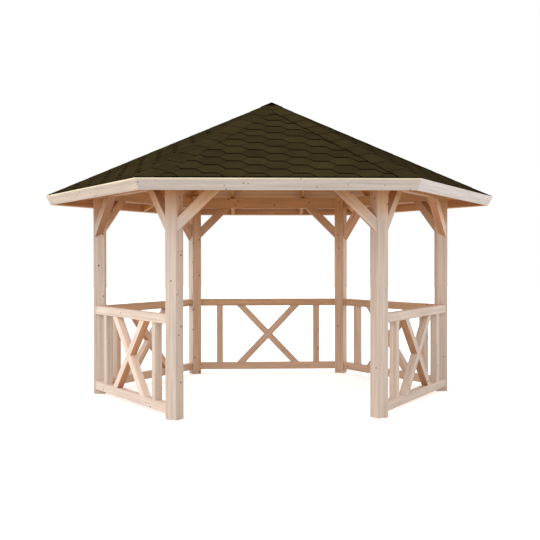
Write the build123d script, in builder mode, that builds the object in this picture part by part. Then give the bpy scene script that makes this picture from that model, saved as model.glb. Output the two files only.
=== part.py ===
from build123d import *
import os
from math import atan2, cos, degrees, radians, sin, sqrt, tan

# Hexagonal garden gazebo in planed spruce: six posts, beams with knee braces, five railings with
# St Andrew's crosses, and a pyramid roof of hip and jack rafters, boards, fascias and shingles.
# Millimetres. The origin is at the middle of the floor plan, on the ground. +Z is up, two of the
# posts stand on the X axis, and the open bay is on the -Y side.

# Plan
SIDES = 6
TURN = 360 / SIDES
POST_RADIUS = 1945                      # middle of the plan to the middle of a post
ENTRANCE = 270                          # direction that the open bay faces, in degrees

# Posts
POST = 125                              # square section
ARRIS = 4                               # planed-off long edges of posts and beams
SMALL_ARRIS = 3                         # the same on railings, braces and fascias

# Beams and knee braces
HEADROOM = 2195                         # ground to the underside of the beams
BEAM_DEPTH = 135
BEAM_THICK = 76
BRACE_WIDTH = 98
BRACE_THICK = 80
BRACE_LEG = 412                         # lower edge of a brace, along the beam and down the post

# Railings
RAIL_TOP = 990                          # ground to the top of the handrail
RAIL_BOTTOM = 55                        # ground to the underside of the bottom rail
RAIL_DEPTH = 90
RAIL_THICK = 75
UPRIGHT_WIDTH = 80
UPRIGHT_SETBACK = 235                   # post face to the near edge of an upright
CROSS_WIDTH = 80
CROSS_SPREAD = 720                      # between the feet of a cross, on its centre lines
JOINT_GAP = 0.3                         # fit between the pieces of one railing

# Roof
PITCH = 25.7                            # degrees
OVERHANG = 455                          # beam's outer face to the outer top edge of a fascia
JACK_SEAT = 19                          # level part of a jack rafter's birdsmouth on a beam
HIP_SEAT = 55                           # the same of a hip rafter's on a post
FASCIA_WIDTH = 117
FASCIA_THICK = 25
SHINGLE_THICK = 7
BOARD_THICK = 19
RAFTER_DEPTH = 90                       # square to the roof face
JACK_WIDTH = 45
JACK_SPREAD = 940                       # between the two jack rafters of one side
HIP_WIDTH = 60
HUB_FLATS = 160                         # hexagonal block that the hip rafters butt against
HUB_DROP = 60                           # how far the block hangs below the hip rafters
CAP_WIDTH = 175                         # each half of a hip cap, in plan
CAP_THICK = 4
PEAK_CAP_RADIUS = 150                   # middle of the cap over the peak to its corners
CAP_GAP = 0.3                           # fit between neighbouring caps

# What follows from them
HALF_TURN = TURN / 2
FACE_U = POST_RADIUS * sin(radians(HALF_TURN)) - POST / 2 * cos(radians(HALF_TURN))
FACE_V = POST_RADIUS * cos(radians(HALF_TURN)) + POST / 2 * sin(radians(HALF_TURN))
BEAM_TOP = HEADROOM + BEAM_DEPTH
BEAM_OUTER = FACE_V + BEAM_THICK / 2
BAY = 2 * (FACE_U + POST)               # longer than any piece between two posts
EAVE_APOTHEM = BEAM_OUTER + OVERHANG
EAVE_RADIUS = EAVE_APOTHEM / cos(radians(HALF_TURN))
SLOPE_LENGTH = EAVE_APOTHEM / cos(radians(PITCH))
BOARD_TOP = SHINGLE_THICK               # depths below the shingles, square to the roof face
RAFTER_TOP = BOARD_TOP + BOARD_THICK
RAFTER_BOTTOM = RAFTER_TOP + RAFTER_DEPTH
HIP_FALL = tan(radians(PITCH)) * cos(radians(HALF_TURN))
HIP_BOTTOM = BEAM_TOP + (BEAM_OUTER - JACK_SEAT) * tan(radians(PITCH))
PEAK_HEIGHT = HIP_BOTTOM + RAFTER_BOTTOM / cos(radians(PITCH))
POST_HEIGHT = HIP_BOTTOM - HIP_FALL * (POST_RADIUS + POST / 2 - HIP_SEAT)

CORNERS = {
    "right": 0,
    "back_right": TURN,
    "back_left": 2 * TURN,
    "left": 3 * TURN,
    "front_left": 4 * TURN,
    "front_right": 5 * TURN,
}
BAYS = {
    "back_right": HALF_TURN,
    "back": 3 * HALF_TURN,
    "back_left": 5 * HALF_TURN,
    "front_left": 7 * HALF_TURN,
    "front": 9 * HALF_TURN,
    "front_right": 11 * HALF_TURN,
}

UP = Vector(0, 0, 1)
PEAK = UP * PEAK_HEIGHT


def outward(angle):
    """Level unit vector in the given direction."""
    return Vector(cos(radians(angle)), sin(radians(angle)), 0)


def along(angle):
    """Level unit vector along a side that faces the given direction, to the right from outside."""
    return Vector(-sin(radians(angle)), cos(radians(angle)), 0)


def plan(angle, distance, height=0):
    """Level sketch plane at a distance from the middle: x outward, y along the side."""
    return Plane(origin=outward(angle) * distance + UP * height, x_dir=outward(angle), z_dir=UP)


def elevation(angle, distance):
    """Upright sketch plane seen from outside: x along the side, y up."""
    return Plane(origin=outward(angle) * distance, x_dir=along(angle), z_dir=outward(angle))


def slope(angle, shift=0):
    """Upright plane square to an eave: x down the slope from the peak, y square to the roof face."""
    return Plane(origin=PEAK + along(angle) * shift, x_dir=downhill(angle), z_dir=along(angle) * -1)


def downhill(angle):
    return outward(angle) * cos(radians(PITCH)) - UP * sin(radians(PITCH))


def post_face(angle, hand):
    """Face of the post at one end of a side, where the members of that side end."""
    origin = along(angle) * hand * FACE_U + outward(angle) * FACE_V
    return Plane(origin=origin, z_dir=outward(angle + hand * (HALF_TURN - 90)))


def roof_face(angle, depth):
    """Plane parallel to a roof face at a depth below the top of the shingles, facing up."""
    normal = outward(angle) * sin(radians(PITCH)) + UP * cos(radians(PITCH))
    return Plane(origin=PEAK - normal * depth, z_dir=normal)


def eave_face(angle, inset):
    """Plane square to a roof face at a distance inside the outer face of its fascia."""
    return Plane(origin=PEAK + downhill(angle) * (SLOPE_LENGTH - inset), z_dir=downhill(angle))


def sector_face(angle, hand, inset=0):
    """Upright plane through the middle, half a turn step to one side, facing the given direction."""
    normal = along(angle + hand * HALF_TURN) * -hand
    return Plane(origin=normal * inset, z_dir=normal)


def cut_between_posts(angle):
    """End the piece in hand at the posts of its side."""
    for hand in (1, -1):
        split(bisect_by=post_face(angle, hand), keep=Keep.TOP)


def cut_to_sector(angle, inset=0):
    """Keep what lies within half a turn step of the given direction."""
    for hand in (1, -1):
        split(bisect_by=sector_face(angle, hand, inset), keep=Keep.TOP)


def long_edges(piece, direction):
    return piece.edges().filter_by(Axis((0, 0, 0), direction))


def write(part, name):
    part.label = name
    export_step(part, f"parts/{name}.step")


# Posts: square, faces set square to the plan's radii, long edges planed off.
def make_post(angle):
    with BuildPart() as post:
        with BuildSketch(plan(angle, POST_RADIUS)):
            Rectangle(POST, POST)
        extrude(amount=POST_HEIGHT)
        chamfer(long_edges(post, UP), length=ARRIS)
    return post.part


# Beams: one between each pair of posts, its ends cut to the turned faces of the posts.
def make_beam(angle):
    with BuildPart() as beam:
        with BuildSketch(elevation(angle, FACE_V)):
            with Locations((0, HEADROOM + BEAM_DEPTH / 2)):
                Rectangle(BAY, BEAM_DEPTH)
        extrude(amount=BEAM_THICK / 2, both=True)
        chamfer(long_edges(beam, along(angle)), length=ARRIS)
        cut_between_posts(angle)
    return beam.part


# Knee braces: a pair at 45 degrees under each beam, from the post's face to the beam's underside.
def make_brace(angle, hand):
    foot = FACE_U + POST
    reach = BRACE_LEG + POST
    level = BRACE_WIDTH * sqrt(2)
    with BuildPart() as brace:
        with BuildSketch(elevation(angle, FACE_V)):
            with BuildLine():
                Polyline(
                    (hand * foot, HEADROOM - reach),
                    (hand * (foot - reach), HEADROOM),
                    (hand * (foot - reach + level), HEADROOM),
                    (hand * foot, HEADROOM - reach + level),
                    close=True,
                )
            make_face()
        extrude(amount=BRACE_THICK / 2, both=True)
        slant = along(angle) * hand - UP
        chamfer(long_edges(brace, slant), length=SMALL_ARRIS)
        split(bisect_by=post_face(angle, hand), keep=Keep.TOP)
    return brace.part


# Railings: two rails between the posts, two uprights and a half-lapped cross between the rails.
INNER_HEIGHT = RAIL_TOP - RAIL_BOTTOM - 2 * RAIL_DEPTH
INNER_MIDDLE = (RAIL_TOP + RAIL_BOTTOM) / 2
UPRIGHT_U = FACE_U - UPRIGHT_SETBACK - UPRIGHT_WIDTH / 2
CROSS_LENGTH = sqrt(CROSS_SPREAD ** 2 + INNER_HEIGHT ** 2)
CROSS_ANGLE = degrees(atan2(INNER_HEIGHT, CROSS_SPREAD))


def make_rail(angle, middle):
    with BuildPart() as rail:
        with BuildSketch(elevation(angle, FACE_V)):
            with Locations((0, middle)):
                Rectangle(BAY, RAIL_DEPTH)
        extrude(amount=RAIL_THICK / 2, both=True)
        chamfer(long_edges(rail, along(angle)), length=SMALL_ARRIS)
        cut_between_posts(angle)
    return rail.part


def make_upright(angle, hand):
    with BuildPart() as upright:
        with BuildSketch(elevation(angle, FACE_V)):
            with Locations((hand * UPRIGHT_U, INNER_MIDDLE)):
                Rectangle(UPRIGHT_WIDTH, INNER_HEIGHT - 2 * JOINT_GAP)
        extrude(amount=RAIL_THICK / 2, both=True)
        chamfer(long_edges(upright, UP), length=SMALL_ARRIS)
    return upright.part


def make_cross_bar(angle, rise):
    """One bar of the cross, rising to the right (rise 1) or to the left (rise -1) from outside."""
    with BuildPart() as bar:
        with BuildSketch(elevation(angle, FACE_V)):
            with Locations((0, INNER_MIDDLE)):
                Rectangle(CROSS_LENGTH + 2 * CROSS_WIDTH, CROSS_WIDTH, rotation=rise * CROSS_ANGLE)
        extrude(amount=RAIL_THICK / 2, both=True)
        slant = along(angle) * CROSS_SPREAD + UP * rise * INNER_HEIGHT
        chamfer(long_edges(bar, slant), length=SMALL_ARRIS)
        # half of the thickness goes where the other bar crosses: inside here, outside there
        with BuildSketch(elevation(angle, FACE_V + rise * JOINT_GAP / 2)):
            with Locations((0, INNER_MIDDLE)):
                Rectangle(3 * CROSS_WIDTH, CROSS_WIDTH + 2 * JOINT_GAP, rotation=-rise * CROSS_ANGLE)
        extrude(amount=-rise * RAIL_THICK, mode=Mode.SUBTRACT)
        # the ends meet the rails
        for end in (1, -1):
            height = INNER_MIDDLE + end * (INNER_HEIGHT / 2 - JOINT_GAP)
            split(bisect_by=Plane(origin=UP * height, z_dir=UP * -end), keep=Keep.TOP)
    return bar.part


def make_railing(angle):
    return Compound(children=[
        make_rail(angle, RAIL_BOTTOM + RAIL_DEPTH / 2),
        make_rail(angle, RAIL_TOP - RAIL_DEPTH / 2),
        make_upright(angle, 1),
        make_upright(angle, -1),
        make_cross_bar(angle, 1),
        make_cross_bar(angle, -1),
    ])


# Roof layers: a slab of one roof face between two depths, mitred at the hips.
def make_layer(angle, top, bottom):
    stop = SLOPE_LENGTH - FASCIA_THICK
    with BuildPart() as layer:
        with BuildSketch(slope(angle)):
            with Locations((stop / 2, -(top + bottom) / 2)):
                Rectangle(stop, bottom - top)
        extrude(amount=EAVE_RADIUS, both=True)
        cut_to_sector(angle)
    return layer.part


# Fascias: boards square to the roof face, round the rafter tails, flush with the shingles on top.
def make_fascia(angle):
    with BuildPart() as fascia:
        with BuildSketch(slope(angle)):
            with Locations((SLOPE_LENGTH - FASCIA_THICK / 2, -FASCIA_WIDTH / 2)):
                Rectangle(FASCIA_THICK, FASCIA_WIDTH)
        extrude(amount=EAVE_RADIUS, both=True)
        chamfer(long_edges(fascia, along(angle)), length=SMALL_ARRIS)
        cut_to_sector(angle)
    return fascia.part


# Hip rafters: from the hub over the posts to the corners of the eave. The top is backed to both
# roof faces, the tail is mitred to both fascias, and a birdsmouth sits on the post.
def make_hip_rafter(angle):
    with BuildPart() as hip:
        with BuildSketch(Plane(origin=(0, 0, 0), x_dir=outward(angle), z_dir=along(angle) * -1)):
            with BuildLine():
                Polyline(
                    (HUB_FLATS / 2, HIP_BOTTOM - HIP_FALL * HUB_FLATS / 2),
                    (EAVE_RADIUS, HIP_BOTTOM - HIP_FALL * EAVE_RADIUS),
                    (EAVE_RADIUS, PEAK_HEIGHT),
                    (HUB_FLATS / 2, PEAK_HEIGHT),
                    close=True,
                )
            make_face()
        extrude(amount=HIP_WIDTH / 2, both=True)
        for side in (angle - HALF_TURN, angle + HALF_TURN):
            split(bisect_by=roof_face(side, RAFTER_TOP), keep=Keep.BOTTOM)
            split(bisect_by=eave_face(side, FASCIA_THICK), keep=Keep.BOTTOM)
        with BuildSketch(plan(angle, POST_RADIUS)):
            Rectangle(POST, POST)
        extrude(amount=POST_HEIGHT, mode=Mode.SUBTRACT)
    return hip.part


# Jack rafters: square to the eave, birdsmouthed over the beam, cut to the side of a hip rafter.
def make_jack_rafter(angle, hand):
    shift = hand * JACK_SPREAD / 2
    stop = SLOPE_LENGTH - FASCIA_THICK
    with BuildPart() as jack:
        with BuildSketch(slope(angle, shift)):
            with Locations((stop / 2, -(RAFTER_TOP + RAFTER_BOTTOM) / 2)):
                Rectangle(stop, RAFTER_DEPTH)
        extrude(amount=JACK_WIDTH / 2, both=True)
        split(bisect_by=sector_face(angle, hand, HIP_WIDTH / 2), keep=Keep.TOP)
        with BuildSketch(plan(angle, FACE_V, HEADROOM)):
            Rectangle(BEAM_THICK, BAY)
        extrude(amount=BEAM_DEPTH, mode=Mode.SUBTRACT)
    return jack.part


# Hub: the hexagonal block under the peak, bevelled at its foot, its top cut to the roof faces.
def make_hub():
    foot = HIP_BOTTOM - HIP_FALL * HUB_FLATS / 2 - HUB_DROP
    with BuildPart() as hub:
        with BuildSketch(Plane.XY.offset(foot)):
            RegularPolygon(HUB_FLATS / 2, SIDES, major_radius=False, rotation=HALF_TURN)
        extrude(amount=PEAK_HEIGHT - foot)
        for angle in BAYS.values():
            split(bisect_by=roof_face(angle, RAFTER_TOP), keep=Keep.BOTTOM)
        chamfer(hub.faces().sort_by(Axis.Z)[0].edges(), length=HUB_FLATS / 8)
    return hub.part


# Caps: a folded strip over each hip, and a small hexagonal pyramid over their upper ends.
def make_block(outline, sides, depth):
    """Upright prism of an outline, cut off by the given roof faces at a depth."""
    with BuildPart() as block:
        with BuildSketch():
            add(outline)
        extrude(amount=2 * PEAK_HEIGHT)
        for side in sides:
            split(bisect_by=roof_face(side, depth), keep=Keep.BOTTOM)
    return block.part


def make_hip_cap(angle):
    sides = (angle - HALF_TURN, angle + HALF_TURN)
    with BuildSketch(plan(angle, EAVE_RADIUS / 2)) as outline:
        Rectangle(EAVE_RADIUS, 2 * CAP_WIDTH)
    with BuildPart() as cap:
        add(make_block(outline.sketch, sides, -CAP_THICK))
        add(make_block(outline.sketch, sides, 0), mode=Mode.SUBTRACT)
        cut_to_sector(angle, CAP_GAP / 2)
        for side in sides:
            split(bisect_by=eave_face(side, FASCIA_THICK), keep=Keep.BOTTOM)
    return cap.part


def make_peak_cap():
    with BuildSketch() as outline:
        RegularPolygon(PEAK_CAP_RADIUS, SIDES)
    with BuildPart() as cap:
        add(make_block(outline.sketch, BAYS.values(), -2 * CAP_THICK - CAP_GAP))
        add(make_block(outline.sketch, BAYS.values(), -CAP_THICK - CAP_GAP), mode=Mode.SUBTRACT)
    return cap.part


os.makedirs("parts", exist_ok=True)

for name, angle in CORNERS.items():
    write(make_post(angle), f"post_{name}")

for name, angle in BAYS.items():
    write(make_beam(angle), f"beam_{name}")
    write(Compound(children=[make_brace(angle, 1), make_brace(angle, -1)]), f"knee_braces_{name}")
    if angle != ENTRANCE:
        write(make_railing(angle), f"railing_{name}")
    write(make_fascia(angle), f"fascia_{name}")
    write(make_layer(angle, BOARD_TOP, RAFTER_TOP), f"roof_boards_{name}")
    write(make_layer(angle, 0, SHINGLE_THICK), f"shingles_{name}")

hips = [make_hip_rafter(angle) for angle in CORNERS.values()]
jacks = [make_jack_rafter(angle, hand) for angle in BAYS.values() for hand in (1, -1)]
caps = [make_hip_cap(angle) for angle in CORNERS.values()]
write(Compound(children=hips), "hip_rafters")
write(Compound(children=jacks), "jack_rafters")
write(make_hub(), "apex_hub")
write(Compound(children=caps + [make_peak_cap()]), "ridge_caps")
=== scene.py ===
# %% [markdown]
# # A six-sided garden gazebo in planed spruce
# The gazebo stands on six square posts. Beams with knee braces join their heads, railings with
# crosses close five of the six bays, and a pyramid roof of boards and hexagonal felt shingles
# keeps the rain out. The timber frame comes ready from the construction model. This lesson gives
# it wood that looks planed and weathered, lays the roof course by course, and sets up daylight.

# %% Load the construction model
from math import atan, atan2, cos, degrees, pi, radians, sin, tan

import bmesh
import bpy
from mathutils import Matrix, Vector


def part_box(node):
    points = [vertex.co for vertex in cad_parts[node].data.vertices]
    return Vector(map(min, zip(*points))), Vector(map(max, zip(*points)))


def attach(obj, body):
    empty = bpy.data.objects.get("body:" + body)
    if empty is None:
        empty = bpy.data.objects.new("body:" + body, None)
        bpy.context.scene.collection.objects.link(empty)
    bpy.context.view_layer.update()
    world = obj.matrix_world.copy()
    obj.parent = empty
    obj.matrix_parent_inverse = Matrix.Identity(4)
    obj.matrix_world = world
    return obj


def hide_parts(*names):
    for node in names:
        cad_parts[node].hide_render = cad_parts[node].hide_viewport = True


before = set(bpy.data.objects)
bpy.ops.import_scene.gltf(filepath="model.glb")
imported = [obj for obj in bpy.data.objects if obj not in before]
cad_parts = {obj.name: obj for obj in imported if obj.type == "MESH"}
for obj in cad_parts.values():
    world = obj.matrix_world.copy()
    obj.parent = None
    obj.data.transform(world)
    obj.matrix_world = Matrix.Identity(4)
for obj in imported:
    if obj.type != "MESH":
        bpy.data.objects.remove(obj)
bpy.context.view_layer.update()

# %% [markdown]
# ## The sizes that the roof is built from
# Every roof face is a triangle that leans at the same pitch. Reading the peak and the eave from
# the construction model, and not typing them in, keeps what is added here in step with it. All
# six faces are alike, so each roof part is made once for the front face and then turned round.

# %% Read the roof's sizes from the model
MM = 0.001
PITCH = radians(25.7)
SIDES = 6
TURN = radians(360 / SIDES)
HIP_SLOPE = atan(tan(PITCH) * cos(TURN / 2))     # the hips are less steep than the faces
BAYS = {"front": 0, "front_right": 1, "back_right": 2, "back": 3, "back_left": 4, "front_left": 5}

slab_low, slab_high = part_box("shingles_front")
PEAK = slab_high.z
SHINGLE_EAVE = -slab_low.y / cos(PITCH)          # down the slope from the peak to the felt's edge
board_low, board_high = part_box("roof_boards_front")
FELT_DEPTH = (PEAK - board_high.z) * cos(PITCH)  # thickness of the felt layer
print("peak", round(PEAK, 4), "slope", round(SHINGLE_EAVE, 4), "felt", round(FELT_DEPTH, 4))

# %% [markdown]
# ## Camera
# The gazebo is seen from eye height, ten metres off and a little to the left of the entrance.
# The camera is kept within half a degree of level, so that the posts stay upright, and a small
# shift of the lens brings the gazebo to the middle of the picture.

# %% Camera
EYE = Vector((-0.3, -9.978, 1.493))
bpy.ops.object.camera_add(location=EYE, rotation=(radians(89.5), radians(0.08), radians(-2.51)))
camera = bpy.context.object
camera.name = "camera"
camera.data.sensor_width = 36
camera.data.lens = 58.32
camera.data.shift_x = -0.0257
camera.data.shift_y = -0.0025
bpy.context.scene.camera = camera
print("camera at", [round(place, 2) for place in EYE])

# %% [markdown]
# ## Daylight and the ground
# Garden buildings are usually shown under a bright overcast sky: a white world lights every side,
# and a wide, weak sun from the front left gives the posts their light and shaded faces. The floor
# is nearly white, and a faint glow of its own, which only the eye and reflections see, carries it
# over to pure white while the soft shadow under the gazebo stays.


# %% A helper that adds a shader node
def add(tree, kind, inputs=None, out=0, **settings):
    """Add a node, set its settings, fill or link its inputs, and return one of its outputs,
    whose .node leads to the others."""
    node = tree.nodes.new(kind)
    for name, value in settings.items():
        setattr(node, name, value)
    for socket, value in (inputs or {}).items():
        if isinstance(value, bpy.types.NodeSocket):
            tree.links.new(value, node.inputs[socket])
        else:
            node.inputs[socket].default_value = value
    return node.outputs[out]


def linear(code):
    """Turn an sRGB hex colour into the linear colour that shaders work in."""
    values = [int(code[i:i + 2], 16) / 255 for i in (1, 3, 5)]
    return [v / 12.92 if v <= 0.04045 else ((v + 0.055) / 1.055) ** 2.4 for v in values] + [1.0]


def start_material(name):
    """A new material with an empty tree, and its surface input."""
    material = bpy.data.materials.new(name)
    material.use_nodes = True
    tree = material.node_tree
    tree.nodes.clear()
    surface = tree.nodes.new("ShaderNodeOutputMaterial").inputs["Surface"]
    return material, tree, surface


def shows_background(tree):
    """1 for rays that come straight to the eye, off a gloss or through glass, and else 0."""
    path = tree.nodes.new("ShaderNodeLightPath")
    ray = add(tree, "ShaderNodeMath", {0: path.outputs["Is Camera Ray"],
                                       1: path.outputs["Is Glossy Ray"]}, operation="MAXIMUM")
    return add(tree, "ShaderNodeMath", {0: ray, 1: path.outputs["Is Transmission Ray"]},
               operation="MAXIMUM")


# %% Sky, sun and floor
world = bpy.data.worlds.new("overcast_sky")
bpy.context.scene.world = world
world.use_nodes = True
sky = world.node_tree
sky.nodes.clear()
SKY_LIGHT = 0.95
glow = add(sky, "ShaderNodeMix", {0: shows_background(sky), 2: SKY_LIGHT, 3: 1.0},
           data_type="FLOAT")
background = add(sky, "ShaderNodeBackground", {"Color": (1, 1, 1, 1), "Strength": glow})
sky.links.new(background, sky.nodes.new("ShaderNodeOutputWorld").inputs["Surface"])

bpy.ops.object.light_add(type="SUN", rotation=(radians(55), 0, radians(-70)))
sun = bpy.context.object
sun.name = "wide_sun"
sun.data.energy = 0.75
sun.data.angle = radians(25)

bpy.ops.mesh.primitive_plane_add(size=80)
floor = bpy.context.object
floor.name = "floor"
pale, tree, surface = start_material("pale_ground")
shade = add(tree, "ShaderNodeBsdfDiffuse", {"Color": linear("#f2f2f2")})
lift = add(tree, "ShaderNodeEmission", {"Color": (1, 1, 1, 1), "Strength": 0.6})
lit = add(tree, "ShaderNodeAddShader", {0: shade, 1: lift})
seen = add(tree, "ShaderNodeMixShader", {0: shows_background(tree), 1: shade, 2: lit})
tree.links.new(seen, surface)
floor.data.materials.append(pale)

bpy.context.scene.view_settings.view_transform = "Standard"
print("sun", sun.data.energy, "sky", SKY_LIGHT)

# %% [markdown]
# ## Planed spruce
# Spruce is a pale wood with soft brownish growth rings and small dark knots. Planed boards are
# smooth but not glossy. Two things give each piece its look. The grain runs along the piece, so
# the pattern has to be turned with it. And light and shade are painted into the colour: the
# outside is a bleached pinkish grey, while wood that faces the middle of the gazebo, or sits up
# under the roof, is painted a darker orange, which stands for the shade it lies in.
#
# All six bays are alike. So instead of a material for each piece, the shader first turns every
# point into the front bay, whichever bay it is in, and then lays the wood pattern there. The
# number of the bay seeds the pattern, so that no two pieces show the same knots.

# %% Turn every point of the gazebo into one bay


def one_bay(tree, at_corners):
    """Positions and normals turned so that +X points out of the bay or corner they lie in, and a
    number of its own for each bay and each of its halves."""
    first = 0 if at_corners else TURN / 2
    coordinates = tree.nodes.new("ShaderNodeTexCoord")
    place = add(tree, "ShaderNodeSeparateXYZ", {0: coordinates.outputs["Object"]}).node
    angle = add(tree, "ShaderNodeMath", {0: place.outputs["Y"], 1: place.outputs["X"]},
                operation="ARCTAN2")
    turns = add(tree, "ShaderNodeMath", {0: angle, 1: 1 / TURN, 2: -first / TURN},
                operation="MULTIPLY_ADD")
    number = add(tree, "ShaderNodeMath", {0: turns}, operation="ROUND")
    if at_corners:                               # give the corner at 180 degrees one number only
        number = add(tree, "ShaderNodeMath", {0: number, 1: 3.5, 2: -2.5}, operation="WRAP")
    back = add(tree, "ShaderNodeMath", {0: number, 1: -TURN, 2: -first}, operation="MULTIPLY_ADD")
    point = add(tree, "ShaderNodeVectorRotate",
                {"Vector": coordinates.outputs["Object"], "Angle": back}, rotation_type="Z_AXIS")
    normal = add(tree, "ShaderNodeVectorRotate",
                 {"Vector": coordinates.outputs["Normal"], "Angle": back}, rotation_type="Z_AXIS")
    folded = add(tree, "ShaderNodeSeparateXYZ", {0: point}).node
    half = add(tree, "ShaderNodeMath", {0: folded.outputs["Y"]}, operation="SIGN")
    seed = add(tree, "ShaderNodeMath", {0: half, 1: 0.25, 2: number}, operation="MULTIPLY_ADD")
    return point, normal, seed


# %% [markdown]
# ## What a spruce surface is made of
# A log's growth rings lie round its pith, so a sawn piece shows them as long lines, closer or
# wider apart as the saw passed nearer to the bark or to the middle. That is what the ring pattern
# does here: it is the distance from a line that runs along the piece a little outside it, and
# noise stretched along the grain makes it wander. Knots are the branches: small round spots that
# are far apart, with the rings bent round them. Real rings are 2 to 4 mm apart, and from across a
# lawn only broad streaks of them are seen, so the streaks are drawn 20 to 40 mm wide as well.
# The colour depends on where a face looks and on its height under the roof, which paint light
# and shade into it, and, for the fascias, on the age of each board.

# %% The spruce material
RING = 3.5 * MM                                  # from one growth ring to the next
# Knots: cells per metre across and along the grain, share of empty cells, core and rim radius.
KNOTS = ((15.0, 15.0, 4.5), 0.25, 8 * MM, 12 * MM)
SMALL_KNOTS = ((22.0, 22.0, 7.0), 0.1, 6 * MM, 10 * MM)
BLEACHED = "#dcc7b6"                             # outside, in the sun
SUNLIT = "#e8d2c1"                               # painted highlight on upper faces
AMBER_SHADE = "#eac8aa"                                # painted shade on faces that look into the gazebo
RESIN_SHADE = "#bf8648"                                # painted shade up under the roof
SHADED = "#b58059"                               # slanting faces that look down
KNOT = "#70492c"                                 # the branches' own, resinous wood
GREYED_KNOT = "#8c7365"                          # the same in a bleached board
INNER_RAIL_SHADE = "#dfb58d"                              # painted shade on a handrail's inner face, deeper than on other faces that look in
STRAW_HIGHLIGHT = "#f6e6c0"                                # painted highlight on the fascias' upper edge and upper faces
YELLOWED = (1, 0.945, 0.865, 1)                  # what age does to a board's colour: either this
GREYED = (1, 1.045, 1.12, 1)                     # or this, or something in between
SHADE_UNDER_ROOF = (1.85, 2.0)                                # heights over which painted shade under the roof spreads to every face
DEEP_SHADE = (1.92, 2.18)                           # heights over which the painted shade under the roof deepens to resin brown


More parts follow.
